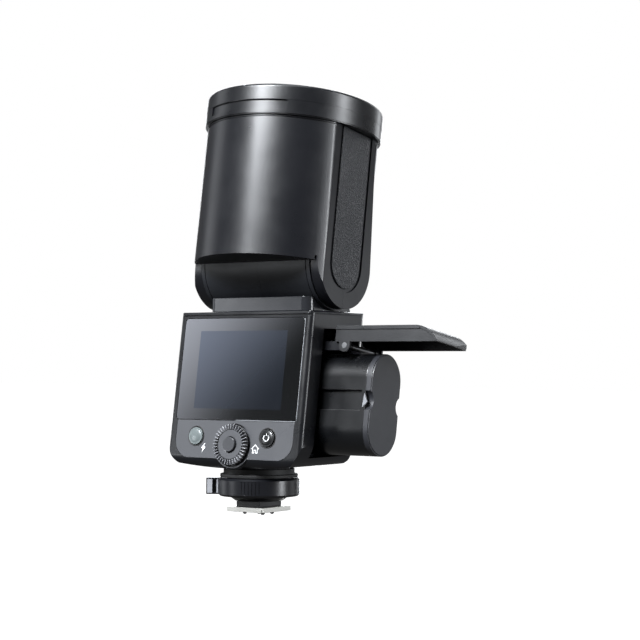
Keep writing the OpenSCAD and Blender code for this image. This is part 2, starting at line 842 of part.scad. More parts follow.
module front_ring() {
    color("#1d1e20") in_head() difference() {
        union() {
            translate([0, 0, ring_z0 + 0.02]) cylinder(r = ring_r - 0.4, h = 0.41, $fn = 96);
            translate([0, 0, ring_z0 + 0.4]) cylinder(r = ring_r - 0.08, h = 7, $fn = 96);
            translate([0, 0, ring_z0 + ring_step]) cylinder(r = ring_r, h = head_z1 - ring_z0 - ring_step - 1.5,
                $fn = 96);
            rotate_extrude($fn = 96) ring_edge();
        }
        translate([0, 0, ring_z0 - 1]) cylinder(r = 33.4, h = 20, $fn = 96);
        translate([0, 0, head_z1 - 4.4]) cylinder(r = 35.2, h = 10, $fn = 96);
        translate([0, 0, 59]) intersection() {
            difference() {
                cylinder(r = 60, h = 4);
                translate([0, 0, -1]) cylinder(r = ring_r - 0.8, h = 6, $fn = 96);
            }
            translate([0, 0, -1]) linear_extrude(8)
                polygon([[0, 0], [-60 * sin(31), -60 * cos(31)], [60 * sin(31), -60 * cos(31)]]);
        }
        magnet_places() translate([0, 0, head_z1 - 2.6]) cylinder(r = 1.15, h = 4);
    }
}

// The ring's rounded front edge, as a half section.
module ring_edge() {
    edge_r = 1.5;
    translate([ring_r - edge_r, head_z1 - edge_r]) circle(edge_r);
    translate([ring_r - 3, head_z1 - edge_r - 0.6]) square([3 - edge_r, edge_r + 0.6]);
}

// Places of the magnets that hold accessories on the ring.
module magnet_places() {
    for (a = [30 : 60 : 330]) rotate([0, 0, a]) translate([36.55, 0, 0]) children();
}

module magnets() {
    color("#a3a4a6") in_head() magnet_places() translate([0, 0, head_z1 - 2.58]) cylinder(r = 1.13, h = 2.3);
}

module front_lens() {
    color("#dfe3e6", 0.5) in_head() translate([0, 0, head_z1 - 4.38]) difference() {
        cylinder(r = 35.15, h = 3.2, $fn = 96);
        for (r = [8 : 4 : 32]) translate([0, 0, -0.5]) difference() {
            cylinder(r = r + 0.5, h = 1);
            translate([0, 0, -1]) cylinder(r = r, h = 3);
        }
    }
}

module reflector() {
    color("#d8dadc") in_head() rotate_extrude($fn = 96) polygon([
        [6, 47], [12, 47.6], [18, 49.8], [24, 53.4], [29, 57.6], [33.3, 63], [33.3, 65.2], [32.3, 65.2],
        [32.3, 63.4], [28.3, 58.6], [23.5, 54.6], [17.6, 51], [11.8, 48.8], [6, 48.2]]);
}

module flash_tube() {
    color("#e8e4d4", 0.6) in_head() {
        rod_x(0, 56, 2.4, -14, 14);
        for (s = [-1, 1]) rod_x(0, 56, 1.0, s > 0 ? 13.9 : -18, s > 0 ? 18 : -13.9);
    }
}

module model_lamp() {
    color("#f2efe2") in_head() {
        translate([0, 0, 45.4]) cylinder(r = 9, h = 1.5);
        for (a = [0 : 60 : 300]) rotate([0, 0, a]) translate([3.8, 0, 46.89]) cylinder(r = 1, h = 0.8);
    }
}

module capacitor() {
    color("#27406b") in_head() for (s = [-1, 1]) rod_y(s * 13, 29, 6.2, -27, 9);
}

module head_board() {
    color("#1f5a3a") in_head() span([-26, 12.4, 23], [26, 14, 42]);
}

// ---------------------------------------------------------------- assembly

shoe_plate();
foot_post();
foot_flange();
foot_screws();
contact_pins();
lock_pin();
lock_ring();
foot_seal();
rear_cover();
middle_frame();
front_cover();
bay_liner();
control_panel();
screen_glass();
display_module();
dial();
dial_grip();
dial_encoder();
centre_button();
left_button();
power_button();
main_board();
af_window();
port_cover();
port_pin();
usb_socket();
sync_socket();
battery_contacts();
body_screws();
pan_bearing();
door_shell();
door_liner();
hinge_pin();
hinge_carrier();
battery_case();
battery_cap();
battery_terminals();
neck_base();
barrel_left();
barrel_right();
pan_hub();
pan_retainer();
tilt_axle();
head_rear_shell();
head_front_shell();
left_pad();
right_pad();
ear_bushes();
front_ring();
front_lens();
reflector();
flash_tube();
model_lamp();
capacitor();
head_board();
magnets();
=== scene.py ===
"""Finishes a round-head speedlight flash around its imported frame.

Each sub-assembly is a class that shapes its own pieces and dresses them in procedural finishes. Lengths are
written in millimetres and turned to metres by one function; places come from the frame's boxes and joints.
"""

from __future__ import annotations

import json
import logging
import math
from dataclasses import dataclass, field
from enum import Enum
from typing import Callable, Iterable, Sequence

import bpy
from mathutils import Matrix, Vector

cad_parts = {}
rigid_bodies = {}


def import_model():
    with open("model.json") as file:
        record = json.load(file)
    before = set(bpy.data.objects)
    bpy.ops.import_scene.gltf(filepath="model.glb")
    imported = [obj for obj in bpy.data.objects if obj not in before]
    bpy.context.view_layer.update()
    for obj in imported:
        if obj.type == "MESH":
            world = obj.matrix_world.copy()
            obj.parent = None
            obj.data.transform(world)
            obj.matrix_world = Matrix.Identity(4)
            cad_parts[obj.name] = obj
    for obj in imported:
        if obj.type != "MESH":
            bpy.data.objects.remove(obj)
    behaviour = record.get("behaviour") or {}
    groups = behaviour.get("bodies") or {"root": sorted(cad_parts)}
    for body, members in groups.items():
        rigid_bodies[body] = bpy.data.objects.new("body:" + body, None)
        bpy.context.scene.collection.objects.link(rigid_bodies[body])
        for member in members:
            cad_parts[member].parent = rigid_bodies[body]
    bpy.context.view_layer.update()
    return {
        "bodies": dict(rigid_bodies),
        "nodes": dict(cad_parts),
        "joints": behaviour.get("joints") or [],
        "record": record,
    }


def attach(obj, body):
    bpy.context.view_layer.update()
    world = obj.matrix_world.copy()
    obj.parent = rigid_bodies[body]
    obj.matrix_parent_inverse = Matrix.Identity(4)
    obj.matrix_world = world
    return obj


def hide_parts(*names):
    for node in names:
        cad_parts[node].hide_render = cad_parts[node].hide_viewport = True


LOG = logging.getLogger("flash")
MM = 0.001
REAR_Y = -22.5  # rear face of the body, in its own leaning frame
SHARP = math.radians(32)  # edges that turn by more than this stay crisp
DRIFT_MM = 14.0  # size of the slow drift of colour and roughness
FINE_SIDES = 96  # steps round a turned piece that is seen close up


def mm(*values: float) -> Vector | float:
    """Millimetres to metres: one number, or a vector of several."""
    return values[0] * MM if len(values) == 1 else Vector(values) * MM


def linear(code: str) -> tuple[float, float, float, float]:
    """Linear colour of an sRGB hex code.

    Args:
        code: Six hex digits after a hash sign.

    Returns:
        Red, green, blue and an alpha of 1.
    """
    parts = [int(code[i:i + 2], 16) / 255 for i in (1, 3, 5)]
    red, green, blue = (p / 12.92 if p <= 0.04045 else ((p + 0.055) / 1.055) ** 2.4 for p in parts)
    return red, green, blue, 1.0


# ---------------------------------------------------------------------------------------------- finishes


def add_node(tree: bpy.types.NodeTree, kind: str, settings: dict | None = None,
             links: dict | None = None) -> bpy.types.Node:
    """Adds one shader node.

    Args:
        tree: The node tree.
        kind: The node's type name.
        settings: Property values, or input values where the name is an input.
        links: Output sockets by the input name or index that they feed.

    Returns:
        The new node.
    """
    node = tree.nodes.new(kind)
    for key, value in (settings or {}).items():
        if isinstance(key, int) or key in node.inputs:
            node.inputs[key].default_value = value
        else:
            setattr(node, key, value)
    for key, source in (links or {}).items():
        tree.links.new(source, node.inputs[key])
    return node


@dataclass(frozen=True)
class Finish:
    """A surface finish that a procedural material is built from.

    Attributes:
        name: Material name, after the real stuff and how its surface was made.
        colour: Base colour, sRGB hex.
        roughness: Mean roughness.
        metallic: 1 for bare metal.
        ior: Refractive index; metals keep the default.
        grain_mm: Size of the surface grain.
        grain_depth_mm: Height of the grain.
        mottle: How far the roughness wanders.
        shade: How far the colour wanders, as a fraction.
        coat: Weight of a clear gloss layer.
        transmission: 1 for clear pieces.
        brushed: Stretch of the grain along X, for brushed metal.
    """

    name: str
    colour: str
    roughness: float
    metallic: float = 0.0
    ior: float = 1.5
    grain_mm: float = 0.0
    grain_depth_mm: float = 0.0
    mottle: float = 0.05
    shade: float = 0.08
    coat: float = 0.0
    transmission: float = 0.0
    brushed: float = 1.0

    def build(self) -> bpy.types.Material:
        """Builds the material.

        Returns:
            The material, ready to be put in a slot.
        """
        material = bpy.data.materials.new(self.name)
        material.use_nodes = True
        tree = material.node_tree
        shader = tree.nodes["Principled BSDF"]
        shader.inputs["Metallic"].default_value = self.metallic
        if not self.metallic:
            shader.inputs["IOR"].default_value = self.ior
        shader.inputs["Coat Weight"].default_value = self.coat
        shader.inputs["Coat Roughness"].default_value = 0.05
        shader.inputs["Transmission Weight"].default_value = self.transmission
        where = add_node(tree, "ShaderNodeTexCoord").outputs["Object"]
        self.cloud(tree, shader, where)
        self.relief(tree, shader, where)
        return material

    def cloud(self, tree: bpy.types.NodeTree, shader: bpy.types.Node, where: bpy.types.NodeSocket) -> None:
        """Slow drift of colour and roughness, as on any moulded or plated surface.

        Args:
            tree: The material's node tree.
            shader: Its principled shader.
            where: Object coordinates.
        """
        drift = add_node(tree, "ShaderNodeTexNoise",
                         {"Scale": 1 / mm(DRIFT_MM), "Detail": 4.0, "Roughness": 0.6}, {"Vector": where})
        base = linear(self.colour)
        dark = tuple(c * (1 - self.shade) for c in base[:3]) + (1.0,)
        pale = tuple(min(1.0, c * (1 + self.shade)) for c in base[:3]) + (1.0,)
        tint = add_node(tree, "ShaderNodeMix", {"data_type": "RGBA"}, {"Factor": drift.outputs["Fac"]})
        tint.inputs[6].default_value = dark
        tint.inputs[7].default_value = pale
        tree.links.new(tint.outputs[2], shader.inputs["Base Color"])
        rough = add_node(tree, "ShaderNodeMapRange",
                         {"From Min": 0.3, "From Max": 0.7,
                          "To Min": max(0.02, self.roughness - self.mottle),
                          "To Max": self.roughness + self.mottle},
                         {"Value": drift.outputs["Fac"]})
        tree.links.new(rough.outputs["Result"], shader.inputs["Roughness"])

    def relief(self, tree: bpy.types.NodeTree, shader: bpy.types.Node, where: bpy.types.NodeSocket) -> None:
        """Fine surface relief: spark-eroded grain on plastic, brush lines on metal.

        Args:
            tree: The material's node tree.
            shader: Its principled shader.
            where: Object coordinates.
        """
        if not self.grain_mm:
            return
        drawn = add_node(tree, "ShaderNodeMapping", {"Scale": (1 / self.brushed, 1.0, 1.0)},
                         {"Vector": where})
        grain = add_node(tree, "ShaderNodeTexNoise",
                         {"Scale": 1 / mm(self.grain_mm), "Detail": 3.0, "Roughness": 0.55},
                         {"Vector": drawn.outputs["Vector"]})
        bump = add_node(tree, "ShaderNodeBump", {"Strength": 1.0, "Distance": mm(self.grain_depth_mm)},
                        {"Height": grain.outputs["Fac"]})
        tree.links.new(bump.outputs["Normal"], shader.inputs["Normal"])


@dataclass(frozen=True)
class Leatherette(Finish):
    """Moulded rubber with a leather grain: raised pebbles between fine creases.

    Attributes:
        pebble_mm: Size of a pebble.
        crease_mm: Depth of a crease.
        warp_mm: Size of the waves that make the pebbles uneven.
        shift_mm: How far those waves move a pebble's edge.
        slope: Share of a pebble over which its edge falls away.
    """

    pebble_mm: float = 1.15
    crease_mm: float = 0.16
    warp_mm: float = 2.4
    shift_mm: float = 0.9
    slope: float = 0.28

    def relief(self, tree: bpy.types.NodeTree, shader: bpy.types.Node, where: bpy.types.NodeSocket) -> None:
        """Pebbles from the distance to the nearest cell edge, warped so that no two are alike.

        Args:
            tree: The material's node tree.
            shader: Its principled shader.
            where: Object coordinates.
        """
        warp = add_node(tree, "ShaderNodeTexNoise", {"Scale": 1 / mm(self.warp_mm), "Detail": 2.0},
                        {"Vector": where})
        shift = add_node(tree, "ShaderNodeVectorMath", {"operation": "SCALE", "Scale": mm(self.shift_mm)},
                         {0: warp.outputs["Color"]})
        moved = add_node(tree, "ShaderNodeVectorMath", {"operation": "ADD"},
                         {0: where, 1: shift.outputs["Vector"]})
        cells = add_node(tree, "ShaderNodeTexVoronoi",
                         {"feature": "DISTANCE_TO_EDGE", "Scale": 1 / mm(self.pebble_mm)},
                         {"Vector": moved.outputs["Vector"]})
        pebble = add_node(tree, "ShaderNodeMapRange",
                          {"From Max": self.slope, "interpolation_type": "SMOOTHSTEP"},
                          {"Value": cells.outputs["Distance"]})
        bump = add_node(tree, "ShaderNodeBump", {"Strength": 1.0, "Distance": mm(self.crease_mm)},
                        {"Height": pebble.outputs["Result"]})
        tree.links.new(bump.outputs["Normal"], shader.inputs["Normal"])


@dataclass(frozen=True)
class PaintedReflection(Finish):
    """A switched-off display under glass: slate blue, with a painted reflection that makes it paler towards
    its upper left.

    Attributes:
        pale: Colour of the painted reflection at the high corner, sRGB hex.
        low: Corner where the base colour is full, in metres.
        high: Corner where the pale colour is full, in metres.
    """

    pale: str = "#6d7380"
    low: tuple[float, float, float] = (0.0, 0.0, 0.0)
    high: tuple[float, float, float] = (0.0, 0.0, 1.0)

    def cloud(self, tree: bpy.types.NodeTree, shader: bpy.types.Node, where: bpy.types.NodeSocket) -> None:
        """A straight blend of two colours from the low corner to the high one, which paints a reflection onto
        the surface.

        Args:
            tree: The material's node tree.
            shader: Its principled shader.
            where: Object coordinates.
        """
        span = Vector(self.high) - Vector(self.low)
        axis = span / span.length_squared
        along = add_node(tree, "ShaderNodeVectorMath", {"operation": "DOT_PRODUCT", 1: axis}, {0: where})
        base = Vector(self.low).dot(axis)
        ramp = add_node(tree, "ShaderNodeMapRange",
                        {"From Min": base, "From Max": base + 1, "interpolation_type": "SMOOTHSTEP"},
                        {"Value": along.outputs["Value"]})
        tint = add_node(tree, "ShaderNodeMix", {"data_type": "RGBA"}, {"Factor": ramp.outputs["Result"]})
        tint.inputs[6].default_value = linear(self.colour)
        tint.inputs[7].default_value = linear(self.pale)
        tree.links.new(tint.outputs[2], shader.inputs["Base Color"])
        shader.inputs["Roughness"].default_value = self.roughness


# Moulded black case: a fine spark-eroded grain spreads each light into one broad soft streak.
SHELL = Finish("moulded_black_polycarbonate", "#0c0d11", 0.30, grain_mm=0.55, grain_depth_mm=0.006,
               mottle=0.03)
# Satin covers: a tighter grain, so edges and streaks look crisper than on the case.
SHELL_SATIN = Finish("satin_black_polycarbonate", "#0b0c0f", 0.31, grain_mm=0.5, grain_depth_mm=0.004)
# Controls panel: mid grey satin, a little paler where light rakes it.
PANEL = Finish("satin_grey_panel_plastic", "#3d3e41", 0.40, grain_mm=0.5, grain_depth_mm=0.006)
# Neck base: finely brushed look that catches a pale band of light.
NECK = Finish("neck_polycarbonate", "#1e1f22", 0.20, grain_mm=0.3, grain_depth_mm=0.002, brushed=10.0)
# Key caps: smooth moulded plastic with a small soft highlight.
GLOSS = Finish("gloss_black_keycap", "#0a0b0c", 0.30, coat=0.1)
GREY_KEY = Finish("gloss_grey_keycap", "#303134", 0.30, coat=0.2)
PALE_KEY = Finish("pearl_grey_keycap", "#585f5f", 0.30, coat=0.2)
# Painted glints: the dial's ribs are black plastic coloured pale grey so that they glint against black
# hollows; the battery's notch glint uses it too.
GLINT_GREY = Finish("dial_polycarbonate", "#77787c", 0.24, grain_mm=0.4, grain_depth_mm=0.004)
# Rubber and dark hollows: no shine to speak of.
RUBBER = Finish("soft_black_rubber", "#050506", 0.62, grain_mm=0.5, grain_depth_mm=0.02)
# Side pads: leather grain that breaks up the light into a fine speckle.
LEATHER = Leatherette("leather_grain_rubber", "#15161a", 0.52, grain_mm=1.0)
# Battery: black satin case, paler matt cap.
BATTERY = Finish("battery_case_polycarbonate", "#08090b", 0.30, grain_mm=0.5, grain_depth_mm=0.005)
BATTERY_CAP = Finish("battery_cap_polycarbonate", "#242529", 0.42, grain_mm=0.45, grain_depth_mm=0.01)
# Door: dark moulded skin, and a greyer lining inside it.
DOOR = Finish("door_polycarbonate", "#0d0e11", 0.38, grain_mm=0.5, grain_depth_mm=0.006)
LINER = Finish("door_lining_plastic", "#38393c", 0.46, grain_mm=0.5, grain_depth_mm=0.01)
# Painted highlights: thin pale grey strips that stand in for the light that polished edges catch, shown as
# pale lines.
EDGE = Finish("polished_edge_plastic", "#7f8184", 0.25, coat=0.3, shade=0.03)
# Thumb grips: pale satin plastic that stands out against the black ring.
GRIP = Finish("pale_grip_plastic", "#8b8c90", 0.34, shade=0.03)
# Barrel: the case plastic with a coarser grain, so its streak is wide and faint.
BARREL = Finish("barrel_polycarbonate", "#17191d", 0.44, grain_mm=0.5, grain_depth_mm=0.006)
# Shoe plate: bright plated steel, lightly brushed along its width.
NICKEL = Finish("nickel_plated_steel", "#dddcd6", 0.36, metallic=1.0, grain_mm=0.25, grain_depth_mm=0.003,
                brushed=14.0)
# Turned steel: duller than the plate, with faint tool lines.
STEEL = Finish("turned_steel", "#8d8e90", 0.32, metallic=1.0, grain_mm=0.3, grain_depth_mm=0.003,
               brushed=10.0)
# Contact pins: metal coloured near-black, painted shade that keeps them as dark as they look under the foot;
# they only glint at their tips.
PIN = Finish("blackened_contact_pin", "#26262a", 0.30, metallic=1.0)
# Battery contacts: thin gold plating, warm and smooth.
GOLD = Finish("gold_plated_contact", "#c9a24c", 0.24, metallic=1.0, shade=0.04)
# Reflector: vapour-coated aluminium, near a mirror.
MIRROR = Finish("vapour_coated_reflector", "#e4e6e8", 0.14, metallic=1.0, shade=0.02, mottle=0.02)
# Boards, sleeve and lamp: inner pieces, seen only through gaps, the lens or an open bay.
BOARD = Finish("green_solder_mask", "#14402a", 0.35, shade=0.2)
SLEEVE = Finish("capacitor_sleeve", "#1c2f57", 0.3)
LAMP = Finish("lamp_board_white", "#e9e4d2", 0.4)
# Clear pieces: pressed ribs and a glass tube bend what is behind them.
FRESNEL = Finish("pressed_lens_acrylic", "#f4f6f7", 0.10, ior=1.49, transmission=1.0, shade=0.0, mottle=0.03)
TUBE = Finish("quartz_tube_glass", "#fbfaf5", 0.04, ior=1.46, transmission=1.0, shade=0.0, mottle=0.01)
# Focus window: polished acrylic, nearly black until light falls through it.
RED = Finish("dark_red_acrylic", "#2a0508", 0.08, coat=0.6)
# Screen: black-printed glass over a display that is off; both carry a painted reflection that makes them
# paler towards the upper left.
GLASS = PaintedReflection("black_backed_touch_glass", "#08090a", 0.12, ior=1.52, pale="#646569",
                low=(0.012, 0.0, 0.044), high=(-0.038, 0.0, 0.086))
LCD = PaintedReflection("switched_off_display", "#0f1217", 0.12, ior=1.52, pale="#4c5059",
              low=(0.014, 0.0, 0.040), high=(-0.034, 0.0, 0.088))
# Printed marks: flat white ink.
PRINT = Finish("white_pad_print", "#f2f3f4", 0.5, shade=0.02)

_built: dict[str, bpy.types.Material] = {}


def material(finish: Finish) -> bpy.types.Material:
    """The material of a finish, built once."""
    if finish.name not in _built:
        _built[finish.name] = finish.build()
    return _built[finish.name]


# ---------------------------------------------------------------------------------------------- workbench


class Side(Enum):
    """Which side of the flash a mirrored piece is on."""

    LEFT = -1
    RIGHT = 1


def deselect() -> None:
    """Leaves nothing selected."""
    if bpy.context.mode != "OBJECT":
        bpy.ops.object.mode_set(mode="OBJECT")
    bpy.ops.object.select_all(action="DESELECT")


def take(piece: bpy.types.Object) -> None:
    """Selects one object alone and makes it active."""
    deselect()
    piece.select_set(True)
    bpy.context.view_layer.objects.active = piece


def choose(piece: bpy.types.Object, test: Callable, kind: str = "FACE") -> int:
    """Selects the faces or edges that pass a test, and leaves the piece in edit mode.

    Args:
        piece: The object.
        test: Takes a face, or an edge's two end points, and says whether to select it.
        kind: FACE or EDGE.

    Returns:
        How many were selected.
    """
    take(piece)
    bpy.ops.object.mode_set(mode="EDIT")
    bpy.ops.mesh.select_mode(type=kind)
    bpy.ops.mesh.select_all(action="DESELECT")
    bpy.ops.object.mode_set(mode="OBJECT")
    mesh = piece.data
    count = 0
    if kind == "FACE":
        for face in mesh.polygons:
            face.select = bool(test(face))
            count += face.select
    else:
        for edge in mesh.edges:
            ends = [mesh.vertices[i].co for i in edge.vertices]
            edge.select = bool(test(*ends))
            count += edge.select
    bpy.ops.object.mode_set(mode="EDIT")
    return count


def leave() -> None:
    """Back to object mode."""
    bpy.ops.object.mode_set(mode="OBJECT")


def modify(piece: bpy.types.Object, kind: str, **settings: object) -> None:
    """Adds a modifier and applies it at once.

    Args:
        piece: The object.
        kind: The modifier's type name.
        settings: Its property values.
    """
    take(piece)
    modifier = piece.modifiers.new(kind.lower(), kind)
    for key, value in settings.items():
        setattr(modifier, key, value)
    bpy.ops.object.modifier_apply(modifier=modifier.name)


def soften(piece: bpy.types.Object, width: float, segments: int = 2, angle: float = SHARP) -> None:
    """Rounds the sharp edges and smooths the shading.

    Args:
        piece: The object.
        width: Edge radius in millimetres, or 0 to leave the edges sharp.
        segments: Faces across each rounded edge.
        angle: Edges that turn by more than this are rounded.
    """
    if width:
        modify(piece, "BEVEL", width=mm(width), segments=segments, limit_method="ANGLE", angle_limit=angle,
               miter_outer="MITER_ARC", use_clamp_overlap=True, harden_normals=False)
    take(piece)
    bpy.ops.object.shade_smooth_by_angle(angle=SHARP)
    modify(piece, "WEIGHTED_NORMAL", keep_sharp=True, mode="FACE_AREA", weight=60)


def slab(name: str, low: Sequence[float], high: Sequence[float]) -> bpy.types.Object:
    """A block as a start for a moulded piece.

    Args:
        name: The piece's name.
        low: Its low corner, in millimetres.
        high: Its high corner, in millimetres.

    Returns:
        The piece.
    """
    deselect()
    centre = [(a + b) / 2 * MM for a, b in zip(low, high)]
    bpy.ops.mesh.primitive_cube_add(size=1, location=centre)
    piece = bpy.context.object
    piece.name = name
    piece.scale = [(b - a) * MM for a, b in zip(low, high)]
    bpy.ops.object.transform_apply(location=True, rotation=True, scale=True)
    return piece


def plate(name: str, outline: Sequence[tuple[float, float]], thickness: float) -> bpy.types.Object:
    """A flat piece from an outline in X and Y, raised to its thickness along Z.

    Args:
        name: The piece's name.
        outline: Corner points, anticlockwise, in millimetres.
        thickness: Height, in millimetres.

    Returns:
        The piece.
    """
    mesh = bpy.data.meshes.new(name)
    mesh.from_pydata([(x * MM, y * MM, 0.0) for x, y in outline], [], [list(range(len(outline)))])
    piece = bpy.data.objects.new(name, mesh)
    bpy.context.scene.collection.objects.link(piece)
    take(piece)
    bpy.ops.object.mode_set(mode="EDIT")
    bpy.ops.mesh.select_all(action="SELECT")
    bpy.ops.mesh.extrude_region_move(TRANSFORM_OT_translate={"value": (0, 0, mm(thickness))})
    bpy.ops.mesh.select_all(action="SELECT")
    bpy.ops.mesh.normals_make_consistent(inside=False)
    leave()
    return piece


def turned(name: str, profile: Sequence[tuple[float, float]], sides: int = 64) -> bpy.types.Object:
    """A turned piece about Z from its half profile.

    Args:
        name: The piece's name.
        profile: Radius and height of each profile point, in millimetres.
        sides: Steps round the axis.

    Returns:
        The piece, closed wherever the profile starts and ends on the axis or meets itself.
    """
    mesh = bpy.data.meshes.new(name)
    points = [(r * MM, 0.0, z * MM) for r, z in profile]
    mesh.from_pydata(points, [(i, i + 1) for i in range(len(points) - 1)], [])
    piece = bpy.data.objects.new(name, mesh)
    bpy.context.scene.collection.objects.link(piece)
    take(piece)
    bpy.ops.object.mode_set(mode="EDIT")
    bpy.ops.mesh.select_all(action="SELECT")
    bpy.ops.mesh.spin(steps=sides, angle=math.tau, center=(0, 0, 0), axis=(0, 0, 1))
    bpy.ops.mesh.select_all(action="SELECT")
    bpy.ops.mesh.remove_doubles(threshold=mm(0.001))
    bpy.ops.mesh.normals_make_consistent(inside=False)
    leave()
    return piece


def dome(radius: float, low: float, high: float, steps: int = 8) -> list[tuple[float, float]]:
    """Half profile of a shallow domed cap, in millimetres.

    Args:
        radius: Radius of the cap.
        low: Height of its rim.
        high: Height of its crown.
        steps: Points from the rim to the crown.

    Returns:
        Radius and height of each profile point.
    """
    skirt = 0.6
    points = [(0.0, low - skirt), (radius, low - skirt)]
    for i in range(steps + 1):
        a = math.pi / 2 * i / steps
        points.append((radius * math.cos(a), low + (high - low) * math.sin(a)))
    points[-1] = (0.0, high)
    return points


def stroke(points: Sequence[tuple[float, float]], width: float) -> list[tuple[float, float]]:
    """Outline of an open line of even width through some points, with mitred corners.

    Args:
        points: The line's points, in millimetres.
        width: Its width.

    Returns:
        The outline's corners, anticlockwise.
    """
    sharpest = 0.35  # keeps the mitre of a very sharp corner short
    path = [Vector(p) for p in points]
    left, right = [], []
    for i, here in enumerate(path):
        before = (here - path[i - 1]).normalized() if i else (path[1] - here).normalized()
        after = (path[i + 1] - here).normalized() if i < len(path) - 1 else before
        normal = Vector((-(before + after).y, (before + after).x)).normalized()
        reach = width / 2 / max(sharpest, normal.dot(Vector((-before.y, before.x))))
        left.append(tuple(here + normal * reach))
        right.append(tuple(here - normal * reach))
    return right + left[::-1]


def carve(piece: bpy.types.Object, cutter: bpy.types.Object) -> None:
    """Cuts one piece out of another and removes the cutter."""
    modify(piece, "BOOLEAN", object=cutter, operation="DIFFERENCE", solver="EXACT")
    bpy.data.objects.remove(cutter)


def ring_arc(radius: float, width: float, start: float, end: float,
             steps: int = 24) -> list[tuple[float, float]]:
    """Outline of a circular stroke.

    Args:
        radius: Radius of its middle line, in millimetres.
        width: Its width.
        start: Angle where it starts, in degrees.
        end: Angle where it ends.
        steps: Points along it.

    Returns:
        The outline's corners, anticlockwise.
    """
    angles = [math.radians(start + (end - start) * i / steps) for i in range(steps + 1)]
    far, near = radius + width / 2, radius - width / 2
    outer = [(far * math.cos(a), far * math.sin(a)) for a in angles]
    inner = [(near * math.cos(a), near * math.sin(a)) for a in reversed(angles)]
    return outer + inner


def move(piece: bpy.types.Object, matrix: Matrix) -> None:
    """Moves the mesh itself, so the object stays at the origin.

    Args:
        piece: The object.
        matrix: Where its mesh goes.
    """
    piece.data.transform(matrix)
    if matrix.determinant() < 0:
        take(piece)
        bpy.ops.object.mode_set(mode="EDIT")
        bpy.ops.mesh.select_all(action="SELECT")
        bpy.ops.mesh.flip_normals()
        leave()


def join(name: str, pieces: Iterable[bpy.types.Object]) -> bpy.types.Object:
    """Joins several meshes into one object.

    Args:
        name: The name of the result.
        pieces: The objects to join, which all end up in the first.

    Returns:
        The joined piece.
    """
    group = list(pieces)
    take(group[0])
    for piece in group[1:]:
        piece.select_set(True)
    bpy.ops.object.join()
    group[0].name = name
    return group[0]


@dataclass
class Shop:
    """The frame and the places that the sub-assemblies share.

    Attributes:
        frame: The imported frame.
        lean: How far the body leans forward, in radians.
        body: Place of the leaning body's own frame.
        head: Place of the head's own frame, at the tilt pivot.
    """

    frame: dict
    lean: float = field(init=False)
    body: Matrix = field(init=False)
    head: Matrix = field(init=False)

    def __post_init__(self) -> None:
        """Works out the leaning body's and the head's frames from the joints."""
        joints = {joint["name"]: joint for joint in self.frame["joints"]}
        axis = joints["door_hinge"]["axis"]
        self.lean = math.atan2(-axis[2], axis[1])
        self.body = Matrix.Rotation(-self.lean, 4, "X")
        self.head = Matrix.Translation(joints["head_tilt"]["pos_m"]) @ self.body

    def body_of(self, node: str) -> str:
        """Name of the body that a frame node belongs to."""
        bodies = self.frame["record"]["behaviour"]["bodies"]
        return next(body for body, nodes in bodies.items() if node in nodes)

    def on_panel(self, x: float, z: float, lift: float = 0.0) -> Matrix:
        """Places a piece drawn in X and Y flat on the controls panel, facing outwards."""
        upright = Matrix.Rotation(math.pi / 2, 4, "X")
        return self.body @ Matrix.Translation(mm(x, REAR_Y - lift, z)) @ upright

    def copy(self, node: str, bevel: float = 0.25, segments: int = 2,
             cutters: Sequence[bpy.types.Object] = ()) -> bpy.types.Object:
        """A finished copy of a frame node: corners welded, flats cleaned, grooves cut, edges rounded.

        Args:
            node: The frame node.
            bevel: Edge radius in millimetres.
            segments: Faces across each rounded edge.
            cutters: Pieces to cut out of it before its edges are rounded.

        Returns:
            The new piece, which still has to be dressed.
        """
        source = self.frame["nodes"][node]
        piece = bpy.data.objects.new(f"{node}_piece", source.data.copy())
        bpy.context.scene.collection.objects.link(piece)
        piece.data.materials.clear()
        take(piece)
        bpy.ops.object.mode_set(mode="EDIT")
        bpy.ops.mesh.select_all(action="SELECT")
        bpy.ops.mesh.remove_doubles(threshold=mm(0.002))
        bpy.ops.mesh.dissolve_limited(angle_limit=math.radians(0.3))
        leave()
        for cutter in cutters:
            carve(piece, cutter)
        soften(piece, bevel, segments)
        return piece

    def fit(self, piece: bpy.types.Object, finish: Finish, *nodes: str, body: str = "",
            slot: str = "") -> bpy.types.Object:
        """Dresses a piece, puts it on its body and lets it stand for its frame nodes.

        Args:
            piece: The object.
            finish: What it is made of.
            nodes: The frame nodes that it replaces, if any.
            body: Its body, where no node gives it.
            slot: Its material slot, where no node gives it; not used.

        Returns:
            The piece.
        """
        if not piece.data.materials:
            piece.data.materials.append(material(finish))
        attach(piece, body or self.body_of(nodes[0]))
        if nodes:
            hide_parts(*nodes)
        LOG.info("fitted %s", piece.name)
        return piece

    def finish_copy(self, node: str, finish: Finish, bevel: float = 0.25, segments: int = 2,
                    cutters: Sequence[bpy.types.Object] = ()) -> bpy.types.Object:
        """Copies a frame node and dresses the copy: the arguments are those of copy, with a finish."""
        return self.fit(self.copy(node, bevel, segments, cutters), finish, node)

    def add(self, piece: bpy.types.Object, finish: Finish, body: str, slot: str,
            place: Matrix | None = None, bevel: float = 0.0) -> bpy.types.Object:
        """Rounds, places and dresses a piece that has no frame node of its own.

        Args:
            piece: The object.
            finish: What it is made of.
            body: The body that carries it.
            slot: Its material slot.
            place: Where its mesh goes, if it isn't there yet.
            bevel: Edge radius in millimetres.

        Returns:
            The piece.
        """
        soften(piece, bevel)
        if place is not None:
            move(piece, place)
        return self.fit(piece, finish, body=body, slot=slot)

    def dress(self, node: str, finish: Finish) -> None:
        """Gives a frame node that stays a better material."""
        target = self.frame["nodes"][node]
        target.data.materials.clear()
        target.data.materials.append(material(finish))


# ---------------------------------------------------------------------------------------------- pieces


